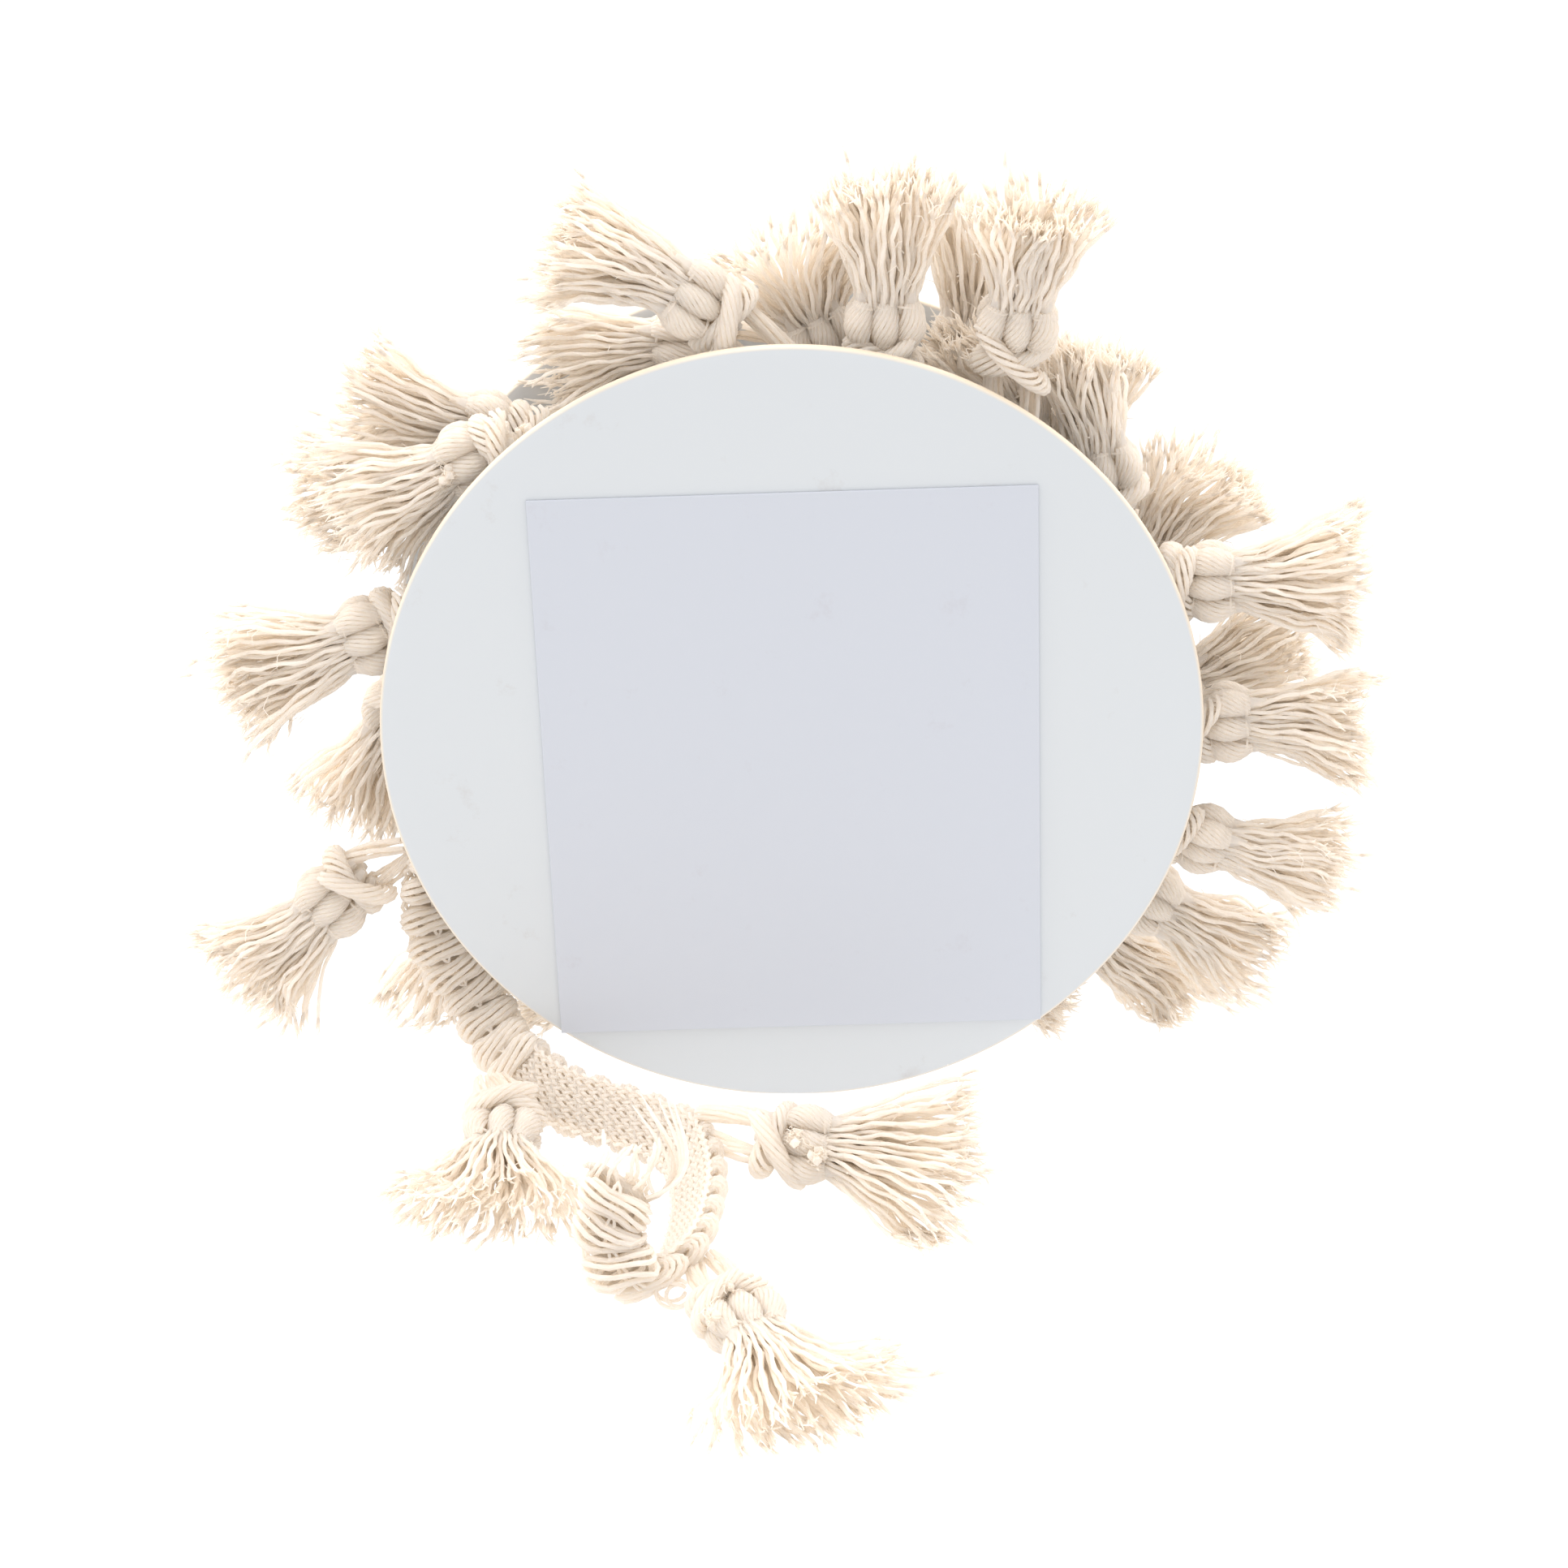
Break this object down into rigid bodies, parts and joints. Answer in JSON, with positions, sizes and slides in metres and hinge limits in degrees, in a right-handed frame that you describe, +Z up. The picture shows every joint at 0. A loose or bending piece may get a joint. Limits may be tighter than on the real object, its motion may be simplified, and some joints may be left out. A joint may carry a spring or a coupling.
{
  "type": "tassel fringe trim wound on a round plastic reel",
  "caption": "Cotton tassel fringe trim wound on a flat round reel, its tassels splayed round the rim and its loose end lying in front.",
  "frame": {"origin": "on the surface the trim stands on, in the middle of the small flat spot under the flange that carries the label", "axes": "+Z up; -Y out of the label side, where the loose end lies; +X to the right as seen from the label side"},
  "size_m": [0.1142, 0.0841, 0.0915],
  "materials": {
    "reel_plastic": "smooth white moulded disc, faint satin",
    "label_paper": "coated white paper sticker, blank",
    "heading_cotton": "woven unbleached cotton gimp, matte",
    "tassel_cotton": "unbleached two-ply cotton yarn, matte and fluffy"
  },
  "bodies": {
    "root": {"reel": "reel_plastic", "label": "label_paper", "wound_heading": "heading_cotton", "loose_heading": "heading_cotton", "tassel_01": "tassel_cotton", "tassel_02": "tassel_cotton", "tassel_03": "tassel_cotton", "tassel_04": "tassel_cotton", "tassel_05": "tassel_cotton", "tassel_06": "tassel_cotton", "tassel_07": "tassel_cotton", "tassel_08": "tassel_cotton", "tassel_09": "tassel_cotton", "tassel_10": "tassel_cotton", "tassel_11": "tassel_cotton", "tassel_12": "tassel_cotton", "tassel_13": "tassel_cotton", "tassel_14": "tassel_cotton", "tassel_15": "tassel_cotton", "tassel_16": "tassel_cotton", "tassel_17": "tassel_cotton", "tassel_18": "tassel_cotton", "tassel_19": "tassel_cotton", "tassel_20": "tassel_cotton", "tassel_21": "tassel_cotton", "tassel_22": "tassel_cotton", "tassel_23": "tassel_cotton", "tassel_24": "tassel_cotton", "tassel_25": "tassel_cotton", "tail_tassel_1": "tassel_cotton", "tail_tassel_2": "tassel_cotton", "tail_tassel_3": "tassel_cotton"}
  },
  "joints": []
}
